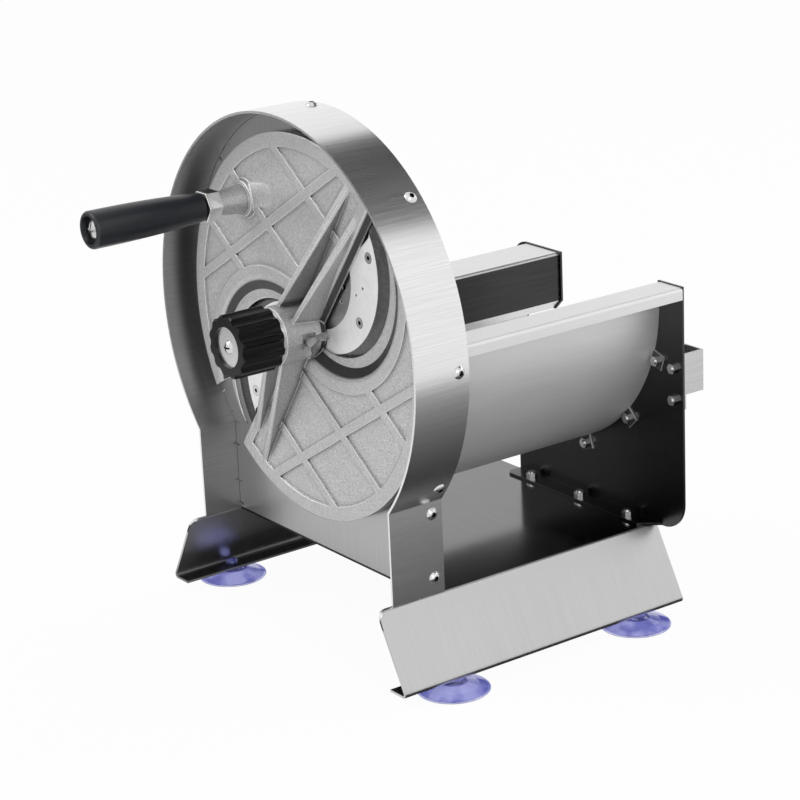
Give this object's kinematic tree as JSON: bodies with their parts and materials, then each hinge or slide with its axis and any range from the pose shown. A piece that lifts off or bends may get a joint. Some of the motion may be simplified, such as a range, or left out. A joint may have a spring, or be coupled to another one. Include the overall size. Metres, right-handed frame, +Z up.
{
  "type": "hand crank vegetable slicer",
  "caption": "Table slicer with suction cups, a trough, a hand cranked bladed disc in a round guard and a knob that sets the slice thickness.",
  "frame": {"origin": "on the table plane, in the middle plane between the feet, at the front panel's front face", "axes": "+X to the right seen from the crank side, +Y back along the spindle from the crank to the rear plate, +Z up"},
  "size_m": [0.2866, 0.3144, 0.337],
  "materials": {
    "brushed_sheet": "fine straight brushing on stainless sheet",
    "panel_sheet": "soft brushed stainless sheet",
    "hoop_sheet": "bright brushed stainless band",
    "trough_sheet": "bright satin stainless sheet",
    "cover_sheet": "satin stainless sheet",
    "polished_sheet": "polished stainless sheet that mirrors dark surroundings",
    "cup_rubber": "clear soft vinyl, tinted blue-violet",
    "cast_aluminium": "cast and bead-blasted",
    "machined_aluminium": "machined face",
    "blade_steel": "ground and polished blade",
    "bright_screws": "bright stainless fasteners",
    "dark_screws": "darker bright steel",
    "bright_disc": "bright turned disc",
    "turned_steel": "turned steel",
    "bearing_steel": "ground bearing steel",
    "spring_steel": "dark spring wire",
    "zinc_nut": "bright zinc plate",
    "bronze": "plain bearing bronze",
    "brass": "turned brass",
    "grip_plastic": "satin black",
    "knob_plastic": "glossy black"
  },
  "bodies": {
    "frame": {"base_frame": "brushed_sheet", "suction_cups": "cup_rubber", "front_panel": "panel_sheet", "hoop": "hoop_sheet", "hoop_screws": "bright_screws", "trough": "trough_sheet", "spindle_cover": "cover_sheet", "rear_plate": "polished_sheet", "deck_screws": "bright_screws", "deck_nuts": "bright_screws", "trough_screws": "bright_screws", "trough_nuts": "bright_screws", "rear_bracket": "brushed_sheet", "bracket_screws": "bright_screws", "bracket_nuts": "bright_screws", "front_bearing_housing": "turned_steel", "rear_bearing_housing": "turned_steel", "bearing_outer_races": "bearing_steel"},
    "rotor": {"spindle": "turned_steel", "retaining_ring": "spring_steel", "bearing_inner_races": "bearing_steel", "bearing_balls": "bearing_steel", "blade_carrier": "machined_aluminium", "upper_blade": "blade_steel", "lower_blade": "blade_steel", "blade_screws": "bright_screws", "blade_dowels": "turned_steel", "carrier_screws": "dark_screws", "drive_pins": "turned_steel", "thrust_spring": "spring_steel"},
    "stop_plate": {"stop_plate": "cast_aluminium", "sleeve_bush": "bronze", "thrust_washer": "turned_steel", "crank_bolt": "dark_screws", "crank_nut": "zinc_nut"},
    "knob": {"thickness_knob": "knob_plastic", "knob_insert": "brass", "knob_disc": "bright_disc", "knob_screw": "bright_screws"},
    "grip": {"crank_grip": "grip_plastic", "grip_bushes": "bronze"},
    "wing_screw": {"wing_screw": "dark_screws"}
  },
  "joints": [
    {"name": "rotor_spin", "type": "hinge", "parent": "frame", "child": "rotor", "pos_m": [0, 0, 0.2], "axis": [0, 1, 0], "continuous": true},
    {"name": "thickness_slide", "type": "slide", "parent": "rotor", "child": "stop_plate", "axis": [0, -1, 0], "range_m": [0, 0.01], "deforming": ["thrust_spring"]},
    {"name": "knob_turn", "type": "hinge", "parent": "stop_plate", "child": "knob", "pos_m": [0, 0, 0.2], "axis": [0, -1, 0], "range_deg": [0, 1800]},
    {"name": "grip_spin", "type": "hinge", "parent": "stop_plate", "child": "grip", "pos_m": [-0.0581, 0, 0.271], "axis": [0, 1, 0], "continuous": true},
    {"name": "wing_turn", "type": "hinge", "parent": "stop_plate", "child": "wing_screw", "pos_m": [0, -0.0186, 0.2], "axis": [0.9925, 0, -0.1219], "range_deg": [0, 360]}
  ],
  "couplings": [
    {"joint": "knob_turn", "follows": "thickness_slide", "rad_per_m": 3141.6}
  ]
}
